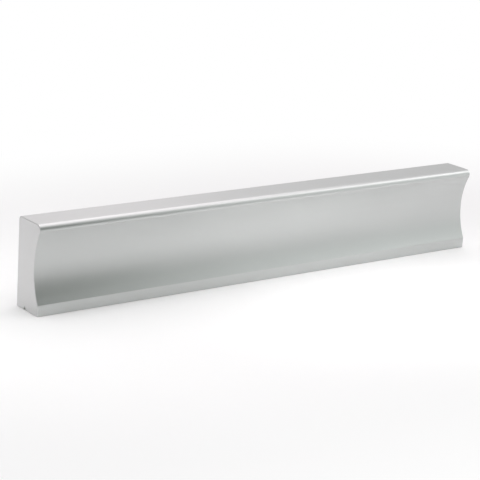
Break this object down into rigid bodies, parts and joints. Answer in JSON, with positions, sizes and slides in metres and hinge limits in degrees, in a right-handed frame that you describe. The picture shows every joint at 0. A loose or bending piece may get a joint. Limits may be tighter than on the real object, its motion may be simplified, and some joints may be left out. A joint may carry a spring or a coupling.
{
  "type": "finger pull profile",
  "caption": "Solid extruded aluminium bar pull with a hollowed front for the fingertips, a rounded nose, a low lip and tapped holes along a grooved base.",
  "frame": {"origin": "on the base, midway between the two screw holes, on the line of the groove that marks them", "axes": "+X along the bar; -Y out of the front with the finger hollow, +Y out of the flat back; +Z from the base to the top, away from the furniture"},
  "size_m": [0.148, 0.0102, 0.024],
  "materials": {
    "anodised_aluminium": "matt silver anodised"
  },
  "bodies": {
    "root": {"pull_bar": "anodised_aluminium"}
  },
  "joints": []
}
